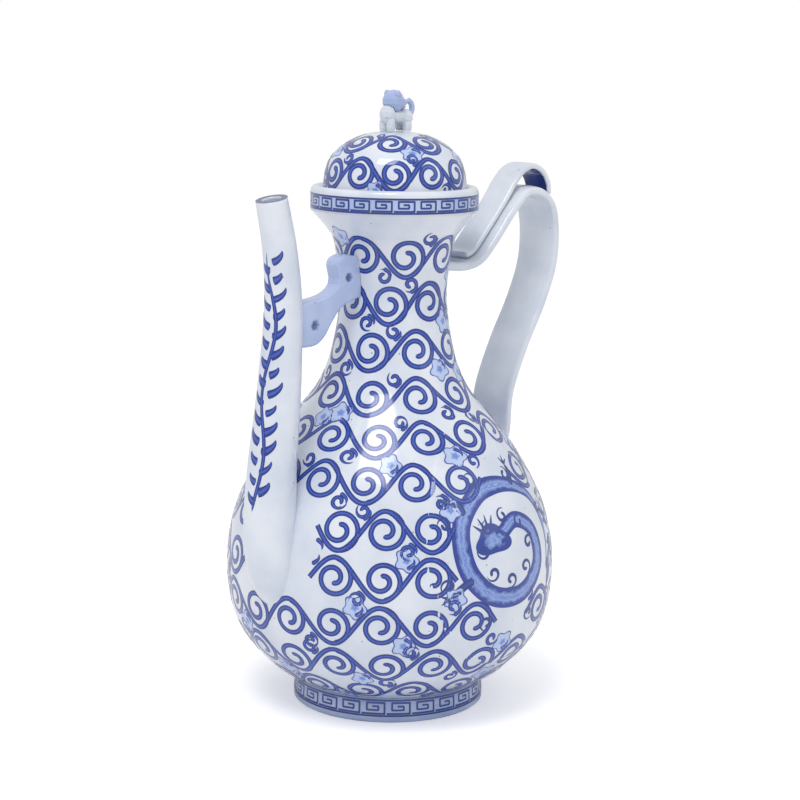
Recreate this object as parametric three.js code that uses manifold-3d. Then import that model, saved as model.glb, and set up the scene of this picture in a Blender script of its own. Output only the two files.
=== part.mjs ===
// Covered ewer: a pear-shaped porcelain body with a curved spout, a cloud-shaped strut, a strap handle
// and a domed lid with a lion finial. Millimetres, +Z up, spout towards -X, handle towards +X.
// Profile points are [radius or reach from the body's axis, height].
import * as THREE from "three";
import { mergeVertices } from "three/addons/utils/BufferGeometryUtils.js";
import Module from "manifold-3d";

const wasm = await Module();
wasm.setup();

// Clearances
const CUT_GAP = 0.3; // between a piece and the curved face that it is luted to
const LID_GAP = 0.3; // between the lid and its seat

// Body
const FOOT_HEIGHT = 11.2;
const FOOT_OUTER = 43.9;
const FOOT_INNER = 38;
const FOOT_ROUND = 0.8;
const BELLY_HEIGHT = 64;
const SHOULDER_TOP = 168;
const COLLAR_BASE = 226.4;
const WALL = 4;
const FLOOR = 6;
const BODY_LINE = [
  [42.6, FOOT_HEIGHT],
  [56.2, 20],
  [70.5, 38],
  [75.2, BELLY_HEIGHT],
  [70.6, 92],
  [55.6, 120],
  [32.5, 150],
  [24.4, 184],
  [26.7, 210],
  [30.4, 218],
  [37.8, COLLAR_BASE],
];

// Mouth collar and lid
const COLLAR_RADIUS = 37.8;
const LIP_TOP = 237.3;
const LIP_DROP = 2.3;
const MOUTH_RADIUS = 33;
const SEAT_RADIUS = 28.6;
const SEAT_HEIGHT = 233.3;
const LID_RADIUS = 32.2;
const LID_BASE = SEAT_HEIGHT + LID_GAP;
const LID_WALL = 4;
const FLANGE_OUTER = SEAT_RADIUS - 0.9;
const FLANGE_WALL = 3.4;
const FLANGE_DEPTH = 7.6;
const DOME_LINE = [
  [32, 239.7],
  [31, 245],
  [28.5, 250.4],
  [22.7, 255.7],
  [15, 259.5],
  [7, 261.2],
];
const DOME_TOP = 261.5;

// Spout stations: reach, height, outer radius
const SPOUT_LINE = [
  [58, 57, 11.5],
  [69.4, 70, 12.4],
  [73.2, 88, 12],
  [73, 114, 11],
  [69, 151, 9.7],
  [66.7, 190, 8.25],
  [68.9, 213, 7.5],
  [73.6, 234.5, 6.95],
];
const SPOUT_WALL = 2.6;
const BORE_START = 0.14; // share of the spout's line at which its bore starts
const BORE_OVERRUN = 2;
const SPOUT_HOLE_RADIUS = 7.5;
const SPOUT_HOLE_HEIGHT = 86;
const SPOUT_HOLE_REACH = 70;

// Strut between the neck and the spout
const STRUT_WIDTH = 8;
const STRUT_BEVEL = 1.2;
const STRUT_OUTLINE = [
  [20, 205.5],
  [32.5, 208.4],
  [38.6, 205],
  [37.4, 196],
  [45, 191],
  [62, 187.2],
  [64, 172],
  [53, 169.3],
  [46, 172.5],
  [40.6, 179.5],
  [34.5, 185.6],
  [20, 190],
];
const STRUT_HOLES = [
  [31, 198.2, 1.9],
  [51, 178.6, 2.1],
];

// Handle strap, and the strip that lies on its front arm and ends in a tongue
const STRAP_WIDTH = 23.5;
const STRAP_THICKNESS = 4.8;
const STRAP_LINE = [
  [61, 103],
  [66.9, 117],
  [68.9, 136],
  [78.4, 157.7],
  [91.3, 180],
  [98, 197],
  [98.7, 214.5],
  [95.8, 224.5],
  [87.9, 231],
  [78.6, 231.4],
  [70.4, 225.1],
  [55.6, 209.3],
  [46.9, 201.6],
  [38.2, 199.2],
  [20, 200.5],
];
const STRIP_WIDTH = 15;
const STRIP_THICKNESS = 3.2;
const STRIP_LINE = [
  [40.5, 203.6],
  [44.6, 204.9],
  [52.4, 212.2],
  [67.2, 228.2],
  [73.4, 236],
  [79.6, 241.4],
  [86.5, 243.2],
  [93, 240.4],
  [97, 234.8],
  [97.8, 229.8],
];

// Lion finial: ellipsoids as centre [x, y, z] above the dome's top and radii [x, y, z]
const LION_FRONT = -5.2;
const LION_REAR = 5;
const LEG_SPREAD = 2.2;
const LION_BODY = [
  [[0, 0, 6.4], [7.4, 3.8, 3]],
  [[LION_FRONT, 0, 7.4], [3.4, 4, 4.4]],
  [[LION_REAR, 0, 6], [4.2, 4.4, 4]],
  [[LION_FRONT, LEG_SPREAD, 2.6], [2.1, 2.1, 4.6]],
  [[LION_FRONT, -LEG_SPREAD, 2.6], [2.1, 2.1, 4.6]],
  [[LION_REAR, LEG_SPREAD, 2.2], [2.3, 2.1, 4.4]],
  [[LION_REAR, -LEG_SPREAD, 2.2], [2.3, 2.1, 4.4]],
];
const LION_HEAD = [
  [[-1.6, 0, 13.2], [5.2, 4.7, 5.2]],
  [[3.2, 0, 12.2], [3, 2.8, 2.6]],
  [[-2.2, 3.4, 16.4], [1.6, 1.2, 1.8]],
  [[-2.2, -3.4, 16.4], [1.6, 1.2, 1.8]],
];
const LION_MOUTH = [[5.6, 0, 11.4], [3, 4, 0.7]];
const LION_TAIL = [
  [8, 6.5],
  [10, 9],
  [9.6, 12],
  [7.6, 13.6],
];
const TAIL_RADIUS = 1.3;

// Mesh fineness
const LATHE_SIDES = 44;
const SAMPLES = 240;
const BAND_STEPS = 7;
const DOME_STEPS = 8;
const LIP_STEPS = 6;
const SPOUT_SIDES = 16;
const SPOUT_STEPS = 20;
const STRAP_SIDES = 12;
const STRAP_STEPS = 28;
const STRIP_STEPS = 18;
const BALL_SIDES = [10, 7];

const point2 = ([r, z]) => new THREE.Vector2(r, z);

function solidOf(geometry) {
  const bare = geometry.clone();
  bare.deleteAttribute("normal");
  bare.deleteAttribute("uv");
  const merged = mergeVertices(bare);
  const mesh = new wasm.Mesh({
    numProp: 3,
    vertProperties: new Float32Array(merged.attributes.position.array),
    triVerts: new Uint32Array(merged.index.array),
  });
  return new wasm.Manifold(mesh);
}

function geometryOf(solid) {
  const mesh = solid.getMesh();
  const geometry = new THREE.BufferGeometry();
  geometry.setAttribute("position", new THREE.BufferAttribute(mesh.vertProperties, 3));
  geometry.setIndex(new THREE.BufferAttribute(mesh.triVerts, 1));
  const flat = geometry.toNonIndexed();
  flat.computeVertexNormals();
  return flat;
}

// A solid of revolution from a profile that runs anticlockwise, up its outside.
function revolve(profile, closed) {
  const points = closed ? [...profile, profile[0]] : profile;
  return solidOf(new THREE.LatheGeometry(points, LATHE_SIDES).rotateX(Math.PI / 2));
}

// A closed skin over rings of equal length, each ring anticlockwise about the direction of travel.
function loft(rings) {
  const sides = rings[0].length;
  const vertices = rings.flat();
  const index = [];
  for (let i = 0; i + 1 < rings.length; i++) {
    for (let j = 0; j < sides; j++) {
      const a = i * sides + j;
      const b = i * sides + ((j + 1) % sides);
      index.push(a, b, a + sides, b, b + sides, a + sides);
    }
  }
  const last = (rings.length - 1) * sides;
  for (let j = 1; j + 1 < sides; j++) {
    index.push(0, j + 1, j);
    index.push(last, last + j, last + j + 1);
  }
  const geometry = new THREE.BufferGeometry().setFromPoints(vertices);
  geometry.setIndex(index);
  return solidOf(geometry);
}

// An oval ring with rounded corners, square to the tangent, which lies in the plane of spout and handle.
function ring(centre, tangent, halfThickness, halfWidth, roundness, sides) {
  const side = new THREE.Vector3(0, 1, 0);
  const normal = new THREE.Vector3().crossVectors(side, tangent).normalize();
  return Array.from({ length: sides }, (_, j) => {
    const angle = ((j + 0.5) / sides) * 2 * Math.PI;
    const bulge = (v) => Math.sign(v) * Math.abs(v) ** roundness;
    return centre
      .clone()
      .addScaledVector(normal, halfThickness * bulge(Math.cos(angle)))
      .addScaledVector(side, halfWidth * bulge(Math.sin(angle)));
  });
}

// The body's outer and inner lines
const bodyCurve = new THREE.SplineCurve(BODY_LINE.map(point2));
const outerLine = bodyCurve.getSpacedPoints(SAMPLES);
const innerLine = outerLine.map((p, i) => {
  const tangent = bodyCurve.getTangentAt(i / SAMPLES);
  return new THREE.Vector2(p.x - WALL * tangent.y, p.y + WALL * tangent.x);
});

function radiusAt(line, z) {
  const next = Math.max(1, line.findIndex((p) => p.y >= z));
  const [low, high] = [line[next - 1], line[next]];
  return THREE.MathUtils.mapLinear(z, low.y, high.y, low.x, high.x);
}

function run(line, from, to, grow = 0) {
  return Array.from({ length: BAND_STEPS + 1 }, (_, i) => {
    const z = from + ((to - from) * i) / BAND_STEPS;
    return new THREE.Vector2(radiusAt(line, z) + grow, z);
  });
}

function band(from, to) {
  return revolve([...run(outerLine, from, to), ...run(innerLine, to, from)], true);
}

// The body as one lump, grown by the gap: what cuts the pieces that are luted on.
function bodyLump() {
  const ends = [FOOT_HEIGHT, BELLY_HEIGHT, SHOULDER_TOP, COLLAR_BASE];
  const outside = ends.slice(1).flatMap((to, i) => run(outerLine, ends[i], to, CUT_GAP));
  return revolve([new THREE.Vector2(0, ends[0]), ...outside, new THREE.Vector2(0, COLLAR_BASE)], false);
}

function footRing() {
  const profile = [
    [FOOT_INNER + FOOT_ROUND, 0],
    [FOOT_OUTER - FOOT_ROUND, 0],
    [FOOT_OUTER, FOOT_ROUND],
    [FOOT_OUTER - FOOT_ROUND / 2, FOOT_HEIGHT],
    [FOOT_INNER, FOOT_HEIGHT],
    [FOOT_INNER, FOOT_ROUND],
  ];
  return revolve(profile.map(point2), true);
}

function lowerBowl() {
  const floorTop = FOOT_HEIGHT + FLOOR;
  return revolve([
    new THREE.Vector2(0, FOOT_HEIGHT),
    ...run(outerLine, FOOT_HEIGHT, BELLY_HEIGHT),
    ...run(innerLine, BELLY_HEIGHT, floorTop),
    new THREE.Vector2(0, floorTop),
  ], false);
}

function upperBowl() {
  const drill = new THREE.CylinderGeometry(SPOUT_HOLE_RADIUS, SPOUT_HOLE_RADIUS, 4 * WALL, SPOUT_SIDES);
  drill.rotateZ(Math.PI / 2).translate(-SPOUT_HOLE_REACH, 0, SPOUT_HOLE_HEIGHT);
  return band(BELLY_HEIGHT, SHOULDER_TOP).subtract(solidOf(drill));
}

function mouthCollar() {
  const lipHalf = (COLLAR_RADIUS - MOUTH_RADIUS) / 2;
  const lip = Array.from({ length: LIP_STEPS + 1 }, (_, i) => {
    const angle = (i / LIP_STEPS) * Math.PI;
    const r = MOUTH_RADIUS + lipHalf + lipHalf * Math.cos(angle);
    return new THREE.Vector2(r, LIP_TOP - LIP_DROP + LIP_DROP * Math.sin(angle));
  });
  const seat = [
    [MOUTH_RADIUS, SEAT_HEIGHT],
    [SEAT_RADIUS, SEAT_HEIGHT],
    [SEAT_RADIUS, COLLAR_BASE],
  ];
  return revolve([new THREE.Vector2(COLLAR_RADIUS, COLLAR_BASE), ...lip, ...seat.map(point2)], true);
}

// The spout's line carries the outer radius in its y, so that place and radius run along together.
const spoutCurve = new THREE.CatmullRomCurve3(SPOUT_LINE.map(([reach, z, r]) => new THREE.Vector3(-reach, r, z)));

function spoutTube(grow, start, overrun) {
  const rings = [];
  for (let i = 0; i <= SPOUT_STEPS; i++) {
    const t = start + ((1 - start) * i) / SPOUT_STEPS;
    const station = spoutCurve.getPointAt(t);
    const tangent = spoutCurve.getTangentAt(t).setY(0).normalize();
    const radius = station.y + grow;
    station.y = 0;
    if (i === SPOUT_STEPS) station.addScaledVector(tangent, overrun);
    rings.push(ring(station, tangent, radius, radius, 1, SPOUT_SIDES));
  }
  return loft(rings);
}

function strap(line, width, thickness, steps, grow) {
  const curve = new THREE.CatmullRomCurve3(line.map(([reach, z]) => new THREE.Vector3(reach, 0, z)));
  const rings = Array.from({ length: steps + 1 }, (_, i) =>
    ring(
      curve.getPointAt(i / steps),
      curve.getTangentAt(i / steps),
      thickness / 2 + grow,
      width / 2 + grow,
      0.5,
      STRAP_SIDES,
    ),
  );
  return loft(rings);
}

function strutPlate() {
  const outline = new THREE.Shape();
  const [first, ...rest] = STRUT_OUTLINE.map(([reach, z]) => new THREE.Vector2(-reach, z));
  outline.moveTo(first.x, first.y);
  outline.splineThru(rest);
  outline.closePath();
  for (const [reach, z, radius] of STRUT_HOLES) {
    outline.holes.push(new THREE.Path().absarc(-reach, z, radius, 0, 2 * Math.PI, true));
  }
  const plate = new THREE.ExtrudeGeometry(outline, {
    depth: STRUT_WIDTH - 2 * STRUT_BEVEL,
    bevelSize: STRUT_BEVEL,
    bevelThickness: STRUT_BEVEL,
    bevelOffset: -STRUT_BEVEL,
    bevelSegments: 2,
    curveSegments: 3,
  });
  plate.translate(0, 0, STRUT_BEVEL - STRUT_WIDTH / 2).rotateX(Math.PI / 2);
  return solidOf(plate);
}

function lidDome() {
  const outside = new THREE.SplineCurve([[LID_RADIUS, LID_BASE], ...DOME_LINE, [0, DOME_TOP]].map(point2));
  const inner = FLANGE_OUTER - FLANGE_WALL;
  const inside = new THREE.EllipseCurve(0, LID_BASE, inner, DOME_TOP - LID_WALL - LID_BASE, Math.PI / 2, 0, true);
  return revolve([...outside.getSpacedPoints(DOME_STEPS), ...inside.getSpacedPoints(DOME_STEPS)], true);
}

function lidFlange() {
  const profile = [
    [FLANGE_OUTER - FLANGE_WALL, LID_BASE - FLANGE_DEPTH],
    [FLANGE_OUTER - FOOT_ROUND, LID_BASE - FLANGE_DEPTH],
    [FLANGE_OUTER, LID_BASE - FLANGE_DEPTH + FOOT_ROUND],
    [FLANGE_OUTER, LID_BASE],
    [FLANGE_OUTER - FLANGE_WALL, LID_BASE],
  ];
  return revolve(profile.map(point2), true);
}

function ball([[x, y, z], radii], grow) {
  const sphere = new THREE.SphereGeometry(1, ...BALL_SIDES).rotateX(Math.PI / 2);
  sphere.scale(...radii.map((r) => r + grow)).translate(x, y, z + DOME_TOP);
  return solidOf(sphere);
}

function balls(list, grow = 0) {
  return list.map((entry) => ball(entry, grow)).reduce((all, one) => all.add(one));
}

function lionTail() {
  const path = new THREE.CatmullRomCurve3(LION_TAIL.map(([x, z]) => new THREE.Vector3(x, 0, z + DOME_TOP)));
  const section = new THREE.Shape().absarc(0, 0, TAIL_RADIUS, 0, 2 * Math.PI, false);
  return solidOf(new THREE.ExtrudeGeometry(section, { extrudePath: path, steps: 8, curveSegments: 4 }));
}

// Glazes
const PAINTED = { color: "#b4c0dc", roughness: 0.16, metalness: 0 };
const PLAIN = { color: "#dfe4ec", roughness: 0.18, metalness: 0 };

function mesh(name, solid, glaze) {
  const made = new THREE.Mesh(geometryOf(solid), new THREE.MeshStandardMaterial(glaze));
  made.name = name;
  return made;
}

const lump = bodyLump();
const spoutOuter = spoutTube(0, 0, 0);
const strapSolid = strap(STRAP_LINE, STRAP_WIDTH, STRAP_THICKNESS, STRAP_STEPS, 0);
const strapGrown = strap(STRAP_LINE, STRAP_WIDTH, STRAP_THICKNESS, STRAP_STEPS, CUT_GAP);
const stripSolid = strap(STRIP_LINE, STRIP_WIDTH, STRIP_THICKNESS, STRIP_STEPS, 0);
const domeSolid = lidDome();
const lionBody = balls(LION_BODY);
const lionGrown = balls(LION_BODY, CUT_GAP);
const domeGrown = domeSolid.translate(0, 0, CUT_GAP);

const lid = new THREE.Group();
lid.add(
  mesh("lid_dome", domeSolid, PAINTED),
  mesh("lid_flange", lidFlange(), PLAIN),
  mesh("lion_body", lionBody.subtract(domeGrown), PLAIN),
  mesh("lion_head", balls(LION_HEAD).subtract(ball(LION_MOUTH, 0)).subtract(lionGrown), PAINTED),
  mesh("lion_tail", lionTail().subtract(lionGrown), PLAIN),
);

const pot = new THREE.Group();
pot.add(
  mesh("foot_ring", footRing(), PAINTED),
  mesh("lower_bowl", lowerBowl(), PAINTED),
  mesh("upper_bowl", upperBowl(), PAINTED),
  mesh("neck", band(SHOULDER_TOP, COLLAR_BASE), PAINTED),
  mesh("mouth_collar", mouthCollar(), PAINTED),
  mesh("spout", spoutOuter.subtract(spoutTube(-SPOUT_WALL, BORE_START, BORE_OVERRUN)).subtract(lump), PAINTED),
  mesh("spout_strut", strutPlate().subtract(lump).subtract(spoutTube(CUT_GAP, 0, 0)), PLAIN),
  mesh("handle_strap", strapSolid.subtract(lump), PLAIN),
  mesh("handle_strip", stripSolid.subtract(strapGrown), PLAIN),
);

// The ewer stands with the middle of its reach, from the spout's tip to the handle, over the origin.
const ewer = new THREE.Group();
ewer.add(pot, lid);
const reach = new THREE.Box3().setFromObject(ewer);
ewer.position.x = -(reach.min.x + reach.max.x) / 2;

export default ewer;
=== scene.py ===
"""A covered ewer in blue and white porcelain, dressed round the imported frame.

Lengths are named in millimetres and turned to metres where a mesh is made. The spout points to -X and
the handle to +X. A turn on the body is counted in degrees from the spout towards -Y.
"""
import math

import bpy
import numpy as np
from mathutils import Euler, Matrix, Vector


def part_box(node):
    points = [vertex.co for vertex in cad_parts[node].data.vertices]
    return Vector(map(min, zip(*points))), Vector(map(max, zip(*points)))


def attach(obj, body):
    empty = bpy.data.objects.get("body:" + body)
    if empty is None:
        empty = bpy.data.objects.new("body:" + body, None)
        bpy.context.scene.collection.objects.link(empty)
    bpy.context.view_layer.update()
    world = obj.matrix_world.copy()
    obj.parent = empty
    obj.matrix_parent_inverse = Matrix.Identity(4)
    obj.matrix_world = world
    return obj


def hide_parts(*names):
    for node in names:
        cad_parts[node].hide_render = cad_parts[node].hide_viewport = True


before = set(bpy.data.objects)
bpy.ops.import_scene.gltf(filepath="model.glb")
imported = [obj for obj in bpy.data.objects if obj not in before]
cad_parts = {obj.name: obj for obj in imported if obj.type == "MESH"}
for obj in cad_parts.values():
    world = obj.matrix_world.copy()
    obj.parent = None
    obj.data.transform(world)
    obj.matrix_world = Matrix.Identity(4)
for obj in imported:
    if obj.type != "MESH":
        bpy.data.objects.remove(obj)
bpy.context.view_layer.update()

MM = 0.001
NECK_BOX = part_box("neck")
AXIS_X = (NECK_BOX[0][0] + NECK_BOX[1][0]) / 2
RNG = np.random.default_rng(7)

# Body, collar and lid, as in the CAD: [radius, height]
FOOT_HEIGHT = 11.2
FOOT_OUTER = 43.9
FOOT_INNER = 38.0
FOOT_BEVEL = 0.8
FOOT_TAPER = 0.4
COLLAR_BASE = 226.4
COLLAR_RADIUS = 37.8
LIP_TOP = 237.3
LIP_DROP = 2.3
MOUTH_RADIUS = 33.0
SEAT_RADIUS = 28.6
SEAT_HEIGHT = 233.3
WALL = 4.0
FLOOR = 6.0
BODY_LINE = [(42.6, FOOT_HEIGHT), (56.2, 20), (70.5, 38), (75.2, 64), (70.6, 92), (55.6, 120),
             (32.5, 150), (24.4, 184), (26.7, 210), (30.4, 218), (37.8, COLLAR_BASE)]
LID_BASE = 233.6
DOME_TOP = 261.5
DOME_LINE = [(32.2, LID_BASE), (32, 239.7), (31, 245), (28.5, 250.4), (22.7, 255.7), (15, 259.5),
             (7, 261.2), (0.01, DOME_TOP)]
DOME_INNER = 24.3
DOME_WALL = 4.0

# The raised panel on each side of the body
PANEL_MIDDLE = 84.0
PANEL_HALF_HEIGHT = 54.0
PANEL_HALF_WIDTH = 42.0
PANEL_NARROWING = 0.3
PANEL_RELIEF = 0.9
PANEL_EDGE = 2.5

# Spout stations: reach, outer radius, height
SPOUT_LINE = [(58, 11.5, 57), (69.4, 12.4, 70), (73.2, 12, 88), (73, 11, 114), (69, 9.7, 151),
              (66.7, 8.25, 190), (68.9, 7.5, 213), (73.6, 6.95, 234.5)]
SPOUT_WALL = 2.6

# Handle strap and applied strip: reach, height; then width and thickness
STRAP_LINE = [(61, 103), (66.9, 117), (68.9, 136), (78.4, 157.7), (91.3, 180), (98, 197), (98.7, 214.5),
              (95.8, 224.5), (87.9, 231), (78.6, 231.4), (70.4, 225.1), (55.6, 209.3), (46.9, 201.6),
              (38.2, 199.2), (20, 200.5)]
STRAP_SIZE = (23.5, 4.8)
STRIP_LINE = [(40.5, 203.6), (44.6, 204.9), (52.4, 212.2), (67.2, 228.2), (73.4, 236), (79.6, 241.4),
              (86.5, 243.2), (93, 240.4), (97, 234.8), (97.8, 229.8)]
STRIP_SIZE = (15.0, 3.2)
STRAP_ROUNDNESS = 0.5

# Fineness of the surfaces
CURVE_STEPS = 60
ROUND_STEPS = 288
BODY_ROWS = 400
INSIDE_ROWS = 160
DOME_ROWS = 120
LID_INSIDE_ROWS = 24
LIP_ROWS = 13
SPOUT_ROWS = 160
SPOUT_SIDES = 48
BORE_FIRST_ROW = 60
STRAP_ROWS = 180
STRAP_SIDES = 40
TONGUE_FIRST_ROW = 138
TONGUE_COLUMNS = 9

# Heights of thin paint over the glaze
PAINT_LIFT = 0.08
WASH_LIFT = 0.04
FRET_LIFT = 0.12
LIP_OUT = 0.05
LIP_UP = 0.1

# Vine scroll: real sizes, then shares of a curl's radius
SCROLL_WIDTH = 2.3
SCROLL_RADIUS = 9.0
SCROLL_PITCH = 20.5
LID_SCROLL_RADIUS = 7.2
LID_SCROLL_PITCH = 15.5
LID_SCROLL_ROWS = [10.5, 28.0]
ROW_SHIFT = 17.0
ROW_RISE = 21.0
FIRST_ROW_ROOM = 4
LAST_ROW_ROOM = 8
LEAST_CURLS = 4
STEM_HALF = 0.53
STEM_POINTS = 26
CURL_POINTS = 56
CURL_SHRINK = 0.8
CURL_POWER = 1.15
CURL_TURNS = 1.55
CURL_RANGE = (0.94, 1.02)
CORNER_DROP = 0.98
BLOSSOM_EVERY = 3
BLOSSOM_LOBES = 5
BLOSSOM_SIZE = 0.56
TENDRIL_SIZE = 0.4
TENDRIL_TURNS = 1.15
TENDRIL_WIDTH = 0.8
LEAF_POINTS = 16
LEAF_WIDTH = 0.85

# Key fret: low and high edge of each band, and one hook in shares of a unit
FRET_UNITS = 24
COLLAR_WASH = (227.6, 234.0)
COLLAR_FRET = (227.9, 233.7)
FOOT_FRET = (3.4, 10.2)
FRET_HOOK = [(0.02, 0.12), (0.9, 0.12), (0.9, 0.86), (0.2, 0.86), (0.2, 0.36), (0.66, 0.36),
             (0.66, 0.62), (0.42, 0.62)]
FRET_OVERRUN = 0.03
FRET_WIDTH = 0.85
BORDER_GAP = 0.2
BORDER_HALF = 0.4
BORDER_STEPS = 145

# Dragon, in millimetres round its middle before DRAGON_GROWTH
DRAGON_TURN = 90.0
DRAGON_HEIGHT = 84.0
DRAGON_GROWTH = 1.25
DRAGON_ROOM = 34.0
DRAGON_COIL = [(-4, 4), (6, 9), (15, 4), (16, -8), (6, -17), (-8, -16), (-18, -6), (-19, 10), (-8, 21),
               (8, 22), (22, 15), (26, 2), (24, -10)]
DRAGON_STEPS = 120
DRAGON_GIRTH = 9.0
DRAGON_HEAD = 6.2
HEAD_STRETCH = [1.25, 0.85]
HEAD_PLACE = [-6.5, 3.5]
DRAGON_FEET = [(24, -19), (-25, -15), (-24, 18), (14, 29)]
KNEE_BEND = [2, 2]
CLAW_SPREAD = [-50, 0, 50]
CLAW_LENGTH = 4.6
MANE_PLACE = [-8, 5]
MANE_ANGLES = [70, 95, 120, 145]
CLOUDS = 16
CLOUD_RADIUS = 3.6
CLOUD_OUTER = 1.02
CLOUD_INNER = 0.42

# Sprig on the spout, in millimetres along it
SPRIG_TURN = 14.0
SPRIG_STEP = 4.2
SPRIG_START = 48
SPRIG_END_ROOM = 22
LEAVES_START = 52
LEAVES_END_ROOM = 24
SPRIG_POINTS = 90
SPRIG_SWAY = 2.2
SPRIG_WAVE = 9
SPRIG_LEAF_POINTS = 20
SPRIG_LEAF_REACH = (3.6, 6.4)
SPRIG_LEAF_WIDTH = (2.8, 4.2)

# Places on the body that the vine leaves free: turn, height, room
SPOUT_ROOT = (0, 88, 22)
HANDLE_ROOT = (180, 108, 17)

# Glaze, as noise per metre: waves 11 mm, clouds 22 mm, speck cells 8 mm and brush streaks 2.4 mm across
GLAZE_WAVES = 90.0
GLAZE_CLOUDS = 45.0
SPECK_CELLS = 130.0
SPECK_SIZE = 0.045
BRUSH_STREAKS = 420.0
WAVE_DEPTH = 0.4
GLAZE_IOR = 1.5
GLAZE_ROUGHNESS = 0.14
STREAK = 0.35
PETAL_STREAK = 0.12
SCALE_STREAK = 0.75

# Stage and camera, in metres, watts and degrees
SKY_STRENGTH = 0.72
FLOOR_LIFT = 0.3
FLOOR_SIZE = 6
LAMP_AIM = [0, 0, 0.14]
LAMPS = (("key", (-0.75, -0.35, 1.6), 10, 0.7), ("fill", (0.6, -1.3, 0.9), 1.5, 0.9))
CAMERA_LENS = 92.5
CAMERA_SENSOR = 36
CAMERA_AWAY = 0.9257
CAMERA_SIDE = 0.00375
CAMERA_HEIGHT = 0.3046
CAMERA_TILT = 10.12
CAMERA_ROLL = 0.846
CAMERA_TURN = -45


def linear(code):
    """A colour written as sRGB hex, as linear RGBA."""
    parts = [int(code[i:i + 2], 16) / 255 for i in (1, 3, 5)]
    return tuple(c / 12.92 if c <= 0.04045 else ((c + 0.055) / 1.055) ** 2.4 for c in parts) + (1.0,)


def add(tree, kind, links=None, sockets=None, **settings):
    """A shader node with its settings, its socket values and its incoming links."""
    made = tree.nodes.new(kind)
    for name, value in settings.items():
        setattr(made, name, value)
    for name, value in (sockets or {}).items():
        made.inputs[name].default_value = value
    for name, source in (links or {}).items():
        tree.links.new(source, made.inputs[name])
    return made


def ramp(tree, source, stops):
    """A colour ramp on a 0 to 1 value, from (place, hex) stops."""
    made = add(tree, "ShaderNodeValToRGB", links={"Fac": source})
    elements = made.color_ramp.elements
    while len(elements) < len(stops):
        elements.new(0.5)
    for element, (place, code) in zip(elements, stops):
        element.position = place
        element.color = linear(code)
    return made.outputs["Color"]


def new_material(name):
    """A material with an empty node tree."""
    material = bpy.data.materials.new(name)
    material.use_nodes = True
    tree = material.node_tree
    tree.nodes.clear()
    return material, tree


def finish_glaze(tree, colour):
    """The fired glaze over every colour here: glossy, with soft waves that bend its highlights."""
    coords = add(tree, "ShaderNodeTexCoord").outputs["Object"]
    waves = add(tree, "ShaderNodeTexNoise", links={"Vector": coords},
                sockets={"Scale": GLAZE_WAVES, "Detail": 3.0})
    bump = add(tree, "ShaderNodeBump", links={"Height": waves.outputs["Fac"]},
               sockets={"Strength": 0.06, "Distance": WAVE_DEPTH * MM})
    shader = add(tree, "ShaderNodeBsdfPrincipled",
                 links={"Base Color": colour, "Normal": bump.outputs["Normal"]},
                 sockets={"Roughness": GLAZE_ROUGHNESS, "Coat Weight": 0.35, "Coat Roughness": 0.05,
                          "IOR": GLAZE_IOR})
    add(tree, "ShaderNodeOutputMaterial", links={"Surface": shader.outputs["BSDF"]})


def porcelain(name, light, dark):
    """Bluish-white glaze: thin and thick places differ softly, with a few tiny brown iron specks."""
    material, tree = new_material(name)
    coords = add(tree, "ShaderNodeTexCoord").outputs["Object"]
    cloud = add(tree, "ShaderNodeTexNoise", links={"Vector": coords},
                sockets={"Scale": GLAZE_CLOUDS, "Detail": 4.0})
    base = ramp(tree, cloud.outputs["Fac"], [(0.35, dark), (0.65, light)])
    cells = add(tree, "ShaderNodeTexVoronoi", links={"Vector": coords}, sockets={"Scale": SPECK_CELLS})
    rare = add(tree, "ShaderNodeMath", links={0: cells.outputs["Distance"]}, sockets={1: SPECK_SIZE},
               operation="LESS_THAN")
    specks = add(tree, "ShaderNodeMix", links={"Factor": rare.outputs["Value"], 6: base},
                 sockets={7: linear("#8a7460")}, data_type="RGBA")
    finish_glaze(tree, specks.outputs[2])
    return material


def cobalt(name, stops, streak=STREAK):
    """Brushed underglaze blue: a stroke pools dark at its edge and is streaky in its middle.

    It reads the stroke's own UV, whose x is 0 in the middle and 1 at the edge.
    """
    material, tree = new_material(name)
    across = add(tree, "ShaderNodeSeparateXYZ",
                 links={"Vector": add(tree, "ShaderNodeTexCoord").outputs["UV"]})
    coords = add(tree, "ShaderNodeTexCoord").outputs["Object"]
    noise = add(tree, "ShaderNodeTexNoise", links={"Vector": coords},
                sockets={"Scale": BRUSH_STREAKS, "Detail": 5.0})
    shifted = add(tree, "ShaderNodeMath", links={0: noise.outputs["Fac"], 2: across.outputs["X"]},
                  sockets={1: streak}, operation="MULTIPLY_ADD")
    finish_glaze(tree, ramp(tree, shifted.outputs["Value"], stops))
    return material


GLAZE = porcelain("porcelain_blue_white_glaze", "#e0e5ee", "#cfd7e5")
PLAIN = porcelain("porcelain_plain_glaze", "#dfe4ec", "#ccd4e0")
WASH = porcelain("porcelain_pale_blue_wash", "#b7c5e6", "#9fb1da")
STROKE = cobalt("underglaze_cobalt_stroke", [(0.1, "#4d72c8"), (0.4, "#2f4dab"), (0.8, "#1c2f80")])
LINE = cobalt("underglaze_cobalt_line", [(0.1, "#34509f"), (0.9, "#22357c")])
PETAL = cobalt("underglaze_cobalt_petal",
               [(0.25, "#6f8cd2"), (0.5, "#b9c9ec"), (0.93, "#b3c4ea"), (0.99, "#2c449a")], PETAL_STREAK)
SCALES = cobalt("underglaze_cobalt_scales",
                [(0.25, "#a9bbe6"), (0.42, "#5f7dcb"), (0.6, "#8ea6dd"), (1.0, "#2b4297")], SCALE_STREAK)


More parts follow.
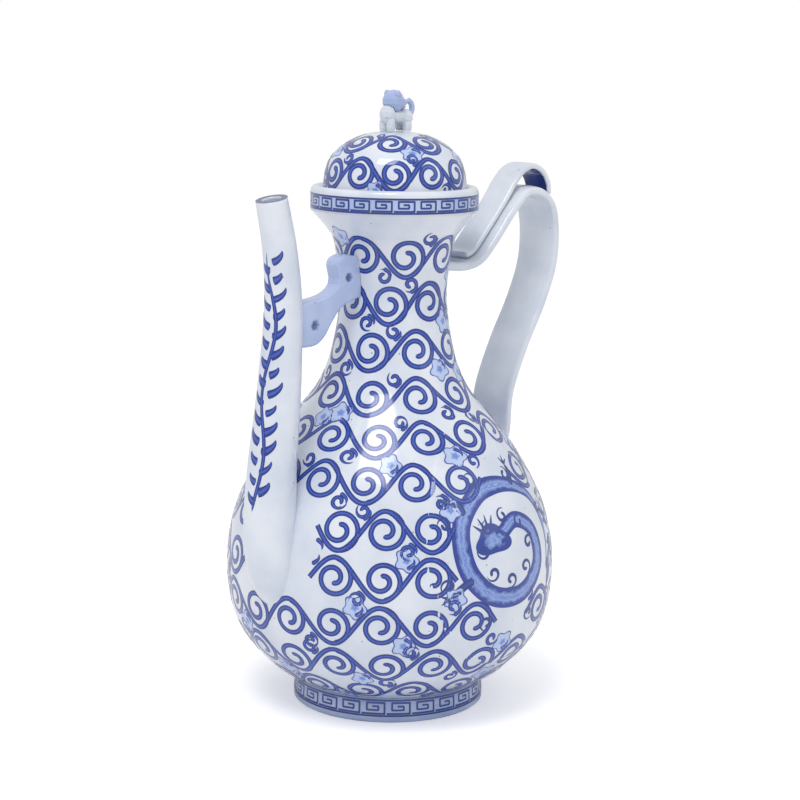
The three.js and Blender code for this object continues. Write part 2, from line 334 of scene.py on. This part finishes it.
def spline(points, count, centripetal=True):
    """Points evenly placed on a Catmull-Rom curve through the given ones, as the CAD draws it."""
    p = np.array(points, float)
    ends = (2 * p[0] - p[1], 2 * p[-1] - p[-2]) if centripetal else (p[0], p[-1])
    p = np.vstack([ends[0], p, ends[1]])
    t = np.linspace(0, 1, CURVE_STEPS, endpoint=False)[:, None]
    pieces = []
    for a, b, c, d in zip(p, p[1:], p[2:], p[3:]):
        if centripetal:
            da, db, dc = (math.sqrt(np.linalg.norm(y - x)) for x, y in ((a, b), (b, c), (c, d)))
            start = db * ((b - a) / da - (c - a) / (da + db) + (c - b) / db)
            end = db * ((c - b) / db - (d - b) / (db + dc) + (d - c) / dc)
        else:
            start, end = (c - a) / 2, (d - b) / 2
        pieces.append((2 * b - 2 * c + start + end) * t**3 + (-3 * b + 3 * c - 2 * start - end) * t**2
                      + start * t + b)
    fine = np.vstack(pieces + [p[-2]])
    length = run(fine)
    even = np.linspace(0, length[-1], count)
    return np.stack([np.interp(even, length, fine[:, k]) for k in range(fine.shape[1])], axis=1)


def run(path):
    """The length walked along a path up to each of its points."""
    return np.r_[0, np.cumsum(np.linalg.norm(np.diff(path, axis=0), axis=1))]


def pair(across, along):
    """Two broadcast arrays as the last axis of one: a grid's UV, or its flat x and y."""
    return np.stack(np.broadcast_arrays(across, along), axis=-1)


def to_mesh(name, grids, material, body, hides=(), uvs=None, wrap=False):
    """One piece from grids of points (rows, columns, xyz in millimetres), each a sheet of quads.

    wrap joins the last column to the first. uvs gives (rows, columns, 2) for each grid.
    """
    corners, faces, marks, base = [], [], [], 0
    for k, grid in enumerate(grids):
        rows, cols = grid.shape[:2]
        ids = base + np.arange(rows * cols).reshape(rows, cols)
        right = np.roll(ids, -1, axis=1)
        span = cols if wrap else cols - 1
        quads = np.stack([ids[:-1, :span], right[:-1, :span], right[1:, :span], ids[1:, :span]], axis=-1)
        faces.append(quads.reshape(-1, 4))
        corners.append(grid.reshape(-1, 3))
        if uvs:
            marks.append(uvs[k].reshape(-1, 2))
        base += rows * cols
    points = np.vstack(corners) * MM + [AXIS_X, 0, 0]
    quads = np.vstack(faces)
    mesh = bpy.data.meshes.new(name)
    mesh.from_pydata(points.tolist(), [], quads.tolist())
    mesh.polygons.foreach_set("use_smooth", np.ones(len(mesh.polygons), bool))
    if uvs:
        layer = mesh.uv_layers.new(name="brush")
        order = np.empty(len(mesh.loops), int)
        mesh.loops.foreach_get("vertex_index", order)
        layer.data.foreach_set("uv", np.vstack(marks)[order].ravel())
    mesh.materials.append(material)
    piece = bpy.data.objects.new(name, mesh)
    bpy.context.scene.collection.objects.link(piece)
    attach(piece, body)
    if hides:
        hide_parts(*hides)


def spin(profile, relief=None):
    """A surface of revolution: x = -r cos a, y = -r sin a, z, with r raised by relief(a, z)."""
    angle = np.linspace(0, 2 * np.pi, ROUND_STEPS, endpoint=False)[None, :]
    r = np.repeat(profile[:, :1], ROUND_STEPS, axis=1)
    z = np.repeat(profile[:, 1:], ROUND_STEPS, axis=1)
    if relief is not None:
        r = r + relief(np.degrees(angle), z)
    return np.stack([-r * np.cos(angle), -r * np.sin(angle), z], axis=-1)


def panel_relief(turn, z):
    """The peach-shaped raised panel on each side: an ellipse, narrower above its middle, soft-edged."""
    v = np.clip((z - PANEL_MIDDLE) / PANEL_HALF_HEIGHT, -1, 1)
    width = PANEL_HALF_WIDTH * np.sqrt(1 - v**2) * (1 - PANEL_NARROWING * np.maximum(v, 0))
    away = np.abs((np.asarray(turn) % 180) - 90)
    radius = np.interp(z, BODY[:, 1], BODY[:, 0])
    inside = np.clip((width - np.radians(away) * radius) / PANEL_EDGE, 0, 1)
    return PANEL_RELIEF * inside**2 * (3 - 2 * inside)


BODY = spline(BODY_LINE, BODY_ROWS, centripetal=False)
DOME = spline(DOME_LINE, DOME_ROWS, centripetal=False)


def shell(outer, wall):
    """The inner line of a thrown wall: the outer line moved in along its normal."""
    tangent = np.gradient(outer, axis=0)
    tangent /= np.linalg.norm(tangent, axis=1)[:, None]
    return outer + wall * np.stack([-tangent[:, 1], tangent[:, 0]], axis=1)


def make_body():
    """Bowl and neck: the outer line spun with its relief, the inner line back down, and the underside."""
    inner = shell(BODY, WALL)
    low, high = FOOT_HEIGHT + FLOOR, COLLAR_BASE
    heights = np.linspace(high, low, INSIDE_ROWS)
    inside = np.stack([np.interp(heights, inner[:, 1], inner[:, 0]), heights], axis=1)
    outside = spin(BODY, panel_relief)
    rest = spin(np.vstack([BODY[-1:], inside, [[0, low]]]))
    under = spin(np.array([[0, FOOT_HEIGHT], [BODY[0, 0], FOOT_HEIGHT]]))
    to_mesh("body_wall", [outside, rest, under], GLAZE, "ewer", ("lower_bowl", "upper_bowl", "neck"),
            wrap=True)


def ring_profile(corners):
    """A ring's section as a loop that ends on its first corner."""
    return np.array(corners + corners[:1], float)


def make_rings():
    """The foot ring, the mouth collar with its half-round lip and lid seat, and the collar's wash."""
    foot = ring_profile([(FOOT_INNER + FOOT_BEVEL, 0), (FOOT_OUTER - FOOT_BEVEL, 0),
                         (FOOT_OUTER, FOOT_BEVEL), (FOOT_OUTER - FOOT_TAPER, FOOT_HEIGHT),
                         (FOOT_INNER, FOOT_HEIGHT), (FOOT_INNER, FOOT_BEVEL)])
    to_mesh("foot", [spin(foot)], WASH, "ewer", ("foot_ring",), wrap=True)
    half = (COLLAR_RADIUS - MOUTH_RADIUS) / 2
    a = np.linspace(0, np.pi, LIP_ROWS)
    lip = np.stack([MOUTH_RADIUS + half + half * np.cos(a), LIP_TOP - LIP_DROP + LIP_DROP * np.sin(a)],
                   axis=1)
    collar = ring_profile([(SEAT_RADIUS, COLLAR_BASE), (COLLAR_RADIUS, COLLAR_BASE), *map(tuple, lip),
                           (MOUTH_RADIUS, SEAT_HEIGHT), (SEAT_RADIUS, SEAT_HEIGHT)])
    to_mesh("collar", [spin(collar)], GLAZE, "ewer", ("mouth_collar",), wrap=True)
    band = np.array([(COLLAR_RADIUS + WASH_LIFT, height) for height in COLLAR_WASH])
    to_mesh("collar_wash", [spin(band)], WASH, "ewer", wrap=True)


def make_lid():
    """The lid's dome: a quarter ellipse inside, then the outer line, spun together."""
    a = np.linspace(0, np.pi / 2, LID_INSIDE_ROWS)
    height = DOME_TOP - DOME_WALL - LID_BASE
    inside = np.stack([DOME_INNER * np.sin(a), LID_BASE + height * np.cos(a)], axis=1)
    profile = np.vstack([inside, DOME])
    to_mesh("lid_cover", [spin(profile)], GLAZE, "lid", ("lid_dome",), wrap=True)


def frame_along(path):
    """Tangent and normal along a path of (reach, height) in the plane of spout and handle."""
    tangent = np.gradient(path, axis=0)
    tangent /= np.linalg.norm(tangent, axis=1)[:, None]
    return tangent, np.stack([tangent[:, 1], -tangent[:, 0]], axis=1)


def tube(path, radius):
    """Rings square to the spout's path: angle 0 faces out from the body."""
    _, normal = frame_along(path)
    a = np.linspace(0, 2 * np.pi, SPOUT_SIDES, endpoint=False)[None, :]
    reach = path[:, :1] + normal[:, :1] * radius[:, None] * np.cos(a)
    z = path[:, 1:] + normal[:, 1:] * radius[:, None] * np.cos(a)
    return np.stack([-reach, -radius[:, None] * np.sin(a), z], axis=-1)


SPOUT = spline(SPOUT_LINE, SPOUT_ROWS)
SPOUT_PATH = SPOUT[:, [0, 2]]
SPOUT_RADIUS = SPOUT[:, 1]


def make_spout():
    """The spout's outside up to its tip and its bore back down, and the blue line on its lip.

    The bore stops inside the spout, and the root is an open end hidden in the body.
    """
    outer = tube(SPOUT_PATH, SPOUT_RADIUS)
    inner = tube(SPOUT_PATH, SPOUT_RADIUS - SPOUT_WALL)[BORE_FIRST_ROW:][::-1]
    to_mesh("spout_wall", [np.vstack([outer, inner])], GLAZE, "ewer", ("spout",), wrap=True)
    lip = tube(SPOUT_PATH, SPOUT_RADIUS - SPOUT_WALL / 2)[-1:]
    edge_out = tube(SPOUT_PATH, SPOUT_RADIUS + LIP_OUT)[-1:]
    edge_in = tube(SPOUT_PATH, SPOUT_RADIUS - SPOUT_WALL)[-1:]
    ring = np.vstack([edge_out, lip, edge_in]) + [0, 0, LIP_UP]
    uv = pair(np.array([0.9, 0.5, 0.9])[:, None], np.zeros((1, SPOUT_SIDES)))
    to_mesh("spout_lip_blue", [ring], LINE, "ewer", uvs=[uv], wrap=True)


def make_strap(name, line, size, hides):
    """A strap with rounded edges: a superellipse section swept along its line, with closed ends."""
    path = spline(line, STRAP_ROWS)
    _, normal = frame_along(path)
    a = np.linspace(0, 2 * np.pi, STRAP_SIDES, endpoint=False)[None, :]
    thick = size[1] / 2 * np.sign(np.cos(a)) * np.abs(np.cos(a)) ** STRAP_ROUNDNESS
    width = size[0] / 2 * np.sign(np.sin(a)) * np.abs(np.sin(a)) ** STRAP_ROUNDNESS
    reach = path[:, :1] + normal[:, :1] * thick
    z = path[:, 1:] + normal[:, 1:] * thick
    rings = np.stack([reach, np.broadcast_to(width, reach.shape), z], axis=-1)
    caps = [np.broadcast_to(rings[k].mean(axis=0), rings[k].shape)[None] for k in (0, -1)]
    to_mesh(name, [np.vstack([caps[0], rings, caps[1]])], PLAIN, "ewer", (hides,), wrap=True)


def on_revolved(line):
    """Placing on a surface of revolution: (degrees, millimetres up the line, lift) to xyz."""
    length = run(line)
    _, outward = frame_along(line)

    def place(turn, up, lift=PAINT_LIFT):
        values = [np.interp(up, length, column) for column in (line[:, 0], line[:, 1], *outward.T)]
        r = values[0] + values[2] * lift
        if line is BODY:
            r = r + panel_relief(turn, values[1])
        a = np.radians(turn)
        return np.stack([-r * np.cos(a), -r * np.sin(a), values[1] + values[3] * lift], axis=-1)

    def up_at(height):
        return np.interp(height, line[:, 1], length)

    def radius_at(up):
        return np.interp(up, length, line[:, 0])

    return place, up_at, radius_at


def ribbon(path, width, across=5):
    """A brush stroke on the flat: the path (n, 2) widened by width (n), as a grid with its UV."""
    tangent = np.gradient(path, axis=0)
    tangent /= np.maximum(np.linalg.norm(tangent, axis=1), 1e-9)[:, None]
    side = np.stack([tangent[:, 1], -tangent[:, 0]], axis=1)
    t = np.linspace(-0.5, 0.5, across)
    grid = path[:, None, :] + side[:, None, :] * (t[None, :, None] * width[:, None, None])
    return grid, pair(np.abs(2 * t)[None, :], np.linspace(0, 1, len(path))[:, None])


def brush_width(count, width, tail=0.35):
    """A rounded start over the first 6 percent, and an end that thins out over the tail's share."""
    t = np.linspace(0, 1, count)
    start = np.sqrt(np.clip(1 - (1 - np.clip(t / 0.06, 0, 1)) ** 2, 0, 1))
    end = np.clip((1 - t) / tail, 0, 1) ** 0.6
    return width * start * np.maximum(end, 0.03)


def scroll_path(radius, way, start, turns, count):
    """A curl from its inner end outwards: radius grows almost evenly with the turn, from a fifth."""
    t = np.linspace(0, 1, count)
    r = radius * (0.2 + 0.8 * t**0.9)
    a = start + way * 2 * np.pi * turns * t
    return np.stack([r * np.cos(a), r * np.sin(a)], axis=1)


def straight(start, near, far, count, angle):
    """Points on a straight line at an angle from start, from one distance to another."""
    return start + np.linspace(near, far, count)[:, None] * [math.cos(angle), math.sin(angle)]


def petal_grid(radius, lobes, tilt):
    """A lobed blossom: rho(a) = radius (1 + 0.16 cos(lobes a)), from its middle to its edge."""
    a = np.linspace(0, 2 * np.pi, 41)[None, :]
    share = np.array([0.02, 0.4, 0.72, 0.86, 1.0])[:, None]
    rho = share * radius * (1 + 0.16 * np.cos(lobes * (a + tilt)))
    return np.stack([rho * np.cos(a), rho * np.sin(a)], axis=-1), pair(share, a / 7)


def lay(grid, place, up, turn, radius):
    """A flat grid wrapped onto the surface round one of its points: x goes round and y goes up."""
    return place(turn + np.degrees(grid[..., 0] / radius), up + grid[..., 1])


def paint(name, items, material, body):
    """One piece of brushwork from (grid, uv) sheets that are already on their surface."""
    to_mesh(name, [grid for grid, _ in items], material, body, uvs=[uv for _, uv in items])


def vine_row(radius, pitch, size, width):
    """The strokes of one turn of vine, flat, as (x of its curl, kind, grid, uv).

    Round each crest or trough the stem is y = size cos(pi x / step), up or down in turn. There a curl
    leaves it and winds inwards. A blossom or a tendril fills each corner, and a leaf stands beside it.
    """
    count = max(LEAST_CURLS, 2 * round(np.pi * radius / pitch))
    step = 2 * np.pi * radius / count
    items = []
    for k in range(count):
        middle = (k + 0.5) * step
        side = 1 if k % 2 == 0 else -1
        x = np.linspace(-STEM_HALF, STEM_HALF, STEM_POINTS) * step
        stem = np.stack([x, side * size * np.cos(np.pi * x / step)], axis=1)
        items.append((middle, "stroke", *ribbon(stem, np.full(STEM_POINTS, width))))
        t = np.linspace(0, 1, CURL_POINTS)
        r = size * (1 - CURL_SHRINK * t**CURL_POWER) * RNG.uniform(*CURL_RANGE)
        angle = side * (np.pi / 2 - 2 * np.pi * CURL_TURNS * t)
        curl = np.stack([r * np.cos(angle), r * np.sin(angle)], axis=1)[::-1]
        items.append((middle, "stroke", *ribbon(curl, brush_width(CURL_POINTS, width, 0.02))))
        corner = np.array([0.5 * step, side * -CORNER_DROP * size])
        if k % BLOSSOM_EVERY == 0:
            grid, uv = petal_grid(BLOSSOM_SIZE * size, BLOSSOM_LOBES, RNG.uniform(0, 2))
            items.append((middle, "petal", grid + corner, uv))
        else:
            tendril = scroll_path(TENDRIL_SIZE * size, side, RNG.uniform(0, 6), TENDRIL_TURNS, STEM_POINTS)
            thin = brush_width(STEM_POINTS, TENDRIL_WIDTH * width)
            items.append((middle, "stroke", *ribbon(tendril + corner, thin)))
        bud = np.array([-0.5 * step, side * 0.55 * size])
        t = np.linspace(0, 1, LEAF_POINTS)[:, None]
        leaf = bud + t * [0.34 * size, side * 0.5 * size] + np.sin(np.pi * t) * [0.16 * size, 0]
        items.append((middle, "stroke", *ribbon(leaf, brush_width(LEAF_POINTS, LEAF_WIDTH * width, 0.8))))
    return items


def scroll_field(surface, body, name, rows, pitch, size, keep_clear):
    """Turns of vine one above another, each shifted round from the one below."""
    place, _, radius_at = surface
    drawn = {"stroke": [], "petal": []}
    for row, up in enumerate(rows):
        radius = float(radius_at(up))
        for middle, kind, grid, uv in vine_row(radius, pitch, size, SCROLL_WIDTH):
            turn = ROW_SHIFT * row + math.degrees(middle / radius)
            if not keep_clear(turn, up, radius):
                drawn[kind].append((lay(grid, place, up, turn, radius), uv))
    paint(name + "_scrolls", drawn["stroke"], STROKE, body)
    paint(name + "_blossoms", drawn["petal"], PETAL, body)


def key_fret(surface, name, low, high):
    """Squared spirals in a row round a band, between two border lines."""
    place, up_at, radius_at = surface
    bottom, top = float(up_at(low)), float(up_at(high))
    height = top - bottom
    step = 360 / FRET_UNITS
    hook = np.array(FRET_HOOK)
    radius = float(radius_at((bottom + top) / 2))
    length = 2 * np.pi * radius / FRET_UNITS
    items = []
    for k in range(FRET_UNITS):
        for a, b in zip(hook, hook[1:]):
            path = a + np.linspace(-FRET_OVERRUN, 1 + FRET_OVERRUN, 6)[:, None] * (b - a)
            grid, uv = ribbon(path * [length, height], np.full(6, FRET_WIDTH), 3)
            turn = k * step + np.degrees(grid[..., 0] / radius)
            items.append((place(turn, bottom + grid[..., 1], FRET_LIFT), uv))
    turn = np.linspace(0, 360, BORDER_STEPS)[None, :]
    rows = np.array([-BORDER_HALF, 0, BORDER_HALF])[:, None]
    around, above = np.broadcast_arrays(turn, rows)
    uv = pair(np.array([0.9, 0.2, 0.9])[:, None], turn / 360)
    for up in (bottom - BORDER_GAP, top + BORDER_GAP):
        items.append((place(around, up + above, FRET_LIFT), uv))
    paint(name, items, LINE, "ewer")


def dragon(surface):
    """A coiled dragon on each side: one looping body, a head, a mane, four clawed legs and a tail.

    Small cloud curls stand inside the coil and round it, in turn.
    """
    place, up_at, radius_at = surface
    up = float(up_at(DRAGON_HEIGHT))
    radius = float(radius_at(up))
    t = np.linspace(0, 1, DRAGON_STEPS)
    coil = spline(DRAGON_COIL, DRAGON_STEPS) * DRAGON_GROWTH
    body = ribbon(coil, DRAGON_GIRTH * np.minimum(1, 0.75 + t) * np.clip((1 - t) * 3.2, 0.1, 1), 7)
    head, head_uv = petal_grid(DRAGON_HEAD, 3, 0.4)
    head = (head * HEAD_STRETCH + np.array(HEAD_PLACE)) * DRAGON_GROWTH
    lines = []
    for foot in DRAGON_GROWTH * np.array(DRAGON_FEET):
        near = coil[np.argmin(np.linalg.norm(coil - foot, axis=1))]
        leg = spline([near, (near + foot) / 2 + KNEE_BEND, foot], 16)
        lines.append(ribbon(leg, brush_width(16, 3.6, 0.4)))
        out = foot - near
        for claw in np.radians(CLAW_SPREAD):
            nail = straight(foot, 0, CLAW_LENGTH, 8, math.atan2(out[1], out[0]) + claw)
            lines.append(ribbon(nail, brush_width(8, 1.3, 0.7)))
    for k in range(CLOUDS):
        a = 2 * np.pi * k / CLOUDS
        away = DRAGON_ROOM * (CLOUD_OUTER if k % 2 else CLOUD_INNER)
        curl = scroll_path(CLOUD_RADIUS, 1 if k % 2 else -1, a, 1.1, 24)
        curl = curl + away * np.array([math.cos(a), math.sin(a)])
        lines.append(ribbon(curl, brush_width(24, 1.5, 0.5)))
    for a in np.radians(MANE_ANGLES):
        hair = straight(DRAGON_GROWTH * np.array(MANE_PLACE), 3, 10, 10, a)
        lines.append(ribbon(hair, brush_width(10, 1.6, 0.8)))
    for side in (DRAGON_TURN, DRAGON_TURN + 180):
        scaled = [(lay(g, place, up, side, radius), uv) for g, uv in (body, (head, head_uv))]
        paint("dragon_body_%d" % side, scaled, SCALES, "ewer")
        drawn = [(lay(g, place, up, side, radius), uv) for g, uv in lines]
        paint("dragon_lines_%d" % side, drawn, LINE, "ewer")


def spout_sprig():
    """A leafy stem up the spout's outer side: the flat grid's x runs round the spout and y along it."""
    length = run(SPOUT_PATH)
    _, normal = frame_along(SPOUT_PATH)
    middle = math.radians(SPRIG_TURN)

    def place(grid):
        columns = (*SPOUT_PATH.T, *normal.T, SPOUT_RADIUS)
        reach, z, nr, nz, radius = [np.interp(grid[..., 1], length, column) for column in columns]
        a = middle + grid[..., 0] / radius
        out = (radius + PAINT_LIFT) * np.cos(a)
        return np.stack([-(reach + nr * out), -(radius + PAINT_LIFT) * np.sin(a), z + nz * out], axis=-1)

    up = np.linspace(SPRIG_START, length[-1] - SPRIG_END_ROOM, SPRIG_POINTS)
    stem = np.stack([SPRIG_SWAY * np.sin(up / SPRIG_WAVE), up], axis=1)
    grid, uv = ribbon(stem, brush_width(SPRIG_POINTS, 1.7, 0.2))
    items = [(place(grid), uv)]
    for k, base in enumerate(np.arange(LEAVES_START, length[-1] - LEAVES_END_ROOM, SPRIG_STEP)):
        way = 1 if k % 2 else -1
        t = np.linspace(0, 1, SPRIG_LEAF_POINTS)
        reach = RNG.uniform(*SPRIG_LEAF_REACH)
        leaf = np.stack([way * (0.6 + reach * np.sin(1.6 * t)), base + reach * t**1.4], axis=1)
        grid, uv = ribbon(leaf, brush_width(SPRIG_LEAF_POINTS, RNG.uniform(*SPRIG_LEAF_WIDTH), 0.8))
        items.append((place(grid), uv))
    paint("spout_sprig", items, STROKE, "ewer")


def tongue_edge():
    """The blue-painted end of the strip: its last rows, lifted off its face, with a bare margin."""
    path = spline(STRIP_LINE, STRAP_ROWS)[TONGUE_FIRST_ROW:]
    _, normal = frame_along(path)
    margin = 0.8
    y = np.linspace(-STRIP_SIZE[0] / 2 + margin, STRIP_SIZE[0] / 2 - margin, TONGUE_COLUMNS)[None, :]
    off = STRIP_SIZE[1] / 2 + PAINT_LIFT
    reach = path[:, :1] + normal[:, :1] * off
    z = path[:, 1:] + normal[:, 1:] * off
    grid = np.stack(np.broadcast_arrays(reach, y, z), axis=-1)
    uv = pair(np.abs(y) / 8, np.linspace(0, 1, len(path))[:, None])
    paint("tongue_blue", [(grid, uv)], LINE, "ewer")


def clear_of_body(turn, up, radius):
    """True where the dragon, the spout's root or the handle's root leaves no room for a curl."""
    dragons = [(DRAGON_TURN + half, DRAGON_HEIGHT, DRAGON_ROOM) for half in (0, 180)]
    for at, height, room in (*dragons, SPOUT_ROOT, HANDLE_ROOT):
        away = (turn - at + 180) % 360 - 180
        if math.hypot(math.radians(away) * radius, up - BODY_UP(height)) < room:
            return True
    return False


make_body()
make_rings()
make_lid()
make_spout()
make_strap("handle_band", STRAP_LINE, STRAP_SIZE, "handle_strap")
make_strap("handle_tongue", STRIP_LINE, STRIP_SIZE, "handle_strip")

body_surface = on_revolved(BODY)
lid_surface = on_revolved(DOME)
BODY_UP = body_surface[1]
collar_line = np.array([(COLLAR_RADIUS, COLLAR_BASE), (COLLAR_RADIUS, LIP_TOP - LIP_DROP)])
foot_line = np.array([(FOOT_OUTER, FOOT_BEVEL), (FOOT_OUTER - FOOT_TAPER, FOOT_HEIGHT)])
body_rows = np.arange(SCROLL_RADIUS + FIRST_ROW_ROOM, float(BODY_UP(COLLAR_BASE)) - LAST_ROW_ROOM, ROW_RISE)
scroll_field(body_surface, "ewer", "body", body_rows, SCROLL_PITCH, SCROLL_RADIUS, clear_of_body)
scroll_field(lid_surface, "lid", "lid", LID_SCROLL_ROWS, LID_SCROLL_PITCH, LID_SCROLL_RADIUS,
             lambda turn, up, radius: False)
key_fret(on_revolved(collar_line), "collar_fret", *COLLAR_FRET)
key_fret(on_revolved(foot_line), "foot_fret", *FOOT_FRET)
dragon(body_surface)
spout_sprig()
tongue_edge()

for node_name, glaze in (("spout_strut", WASH), ("lid_flange", PLAIN), ("lion_body", PLAIN),
                         ("lion_head", WASH), ("lion_tail", WASH)):
    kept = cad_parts[node_name]
    for slot in kept.material_slots:
        slot.material = glaze


def make_stage():
    """White surroundings, a pale floor that takes the shadow, and soft light."""
    bpy.ops.mesh.primitive_plane_add(size=FLOOR_SIZE)
    floor = bpy.context.object
    floor.name = "floor"
    material, tree = new_material("pale_floor")
    shader = add(tree, "ShaderNodeBsdfDiffuse", sockets={"Color": linear("#fbfbfc")})
    seen = add(tree, "ShaderNodeLightPath").outputs["Is Camera Ray"]
    lift = add(tree, "ShaderNodeMath", links={0: seen}, sockets={1: FLOOR_LIFT}, operation="MULTIPLY")
    glow = add(tree, "ShaderNodeEmission", links={"Strength": lift.outputs["Value"]})
    both = add(tree, "ShaderNodeAddShader", links={0: shader.outputs["BSDF"], 1: glow.outputs["Emission"]})
    add(tree, "ShaderNodeOutputMaterial", links={"Surface": both.outputs["Shader"]})
    floor.data.materials.append(material)
    world = bpy.data.worlds.new("studio")
    bpy.context.scene.world = world
    world.use_nodes = True
    background = world.node_tree.nodes["Background"]
    background.inputs["Color"].default_value = linear("#ffffff")
    rays = add(world.node_tree, "ShaderNodeLightPath")
    strength = add(world.node_tree, "ShaderNodeMath", links={0: rays.outputs["Is Camera Ray"]},
                   sockets={1: SKY_STRENGTH}, operation="MAXIMUM")
    world.node_tree.links.new(strength.outputs["Value"], background.inputs["Strength"])
    for name, place, energy, size in LAMPS:
        light = bpy.data.lights.new(name, "AREA")
        light.energy = energy
        light.size = size
        lamp = bpy.data.objects.new(name, light)
        lamp.location = place
        aim = np.array(LAMP_AIM) - np.array(place)
        yaw = math.atan2(aim[1], aim[0]) - math.pi / 2
        pitch = math.atan2(aim[2], math.hypot(aim[0], aim[1])) + math.pi / 2
        lamp.rotation_euler = (pitch, 0, yaw)
        bpy.context.scene.collection.objects.link(lamp)


def make_camera():
    """The photograph's view, solved from the foot, the collar and the lid."""
    data = bpy.data.cameras.new("photo_view")
    data.lens = CAMERA_LENS
    data.sensor_width = CAMERA_SENSOR
    camera = bpy.data.objects.new("photo_view", data)
    diagonal = math.sqrt(0.5)
    camera.location = (AXIS_X - diagonal * CAMERA_AWAY + diagonal * CAMERA_SIDE,
                       -diagonal * CAMERA_AWAY - diagonal * CAMERA_SIDE, CAMERA_HEIGHT)
    camera.rotation_mode = "QUATERNION"
    turned = Euler((math.radians(90 - CAMERA_TILT), 0, math.radians(CAMERA_TURN))).to_quaternion()
    camera.rotation_quaternion = turned @ Euler((0, 0, math.radians(CAMERA_ROLL))).to_quaternion()
    bpy.context.scene.collection.objects.link(camera)
    bpy.context.scene.camera = camera


make_stage()
make_camera()
bpy.context.scene.view_settings.view_transform = "Standard"
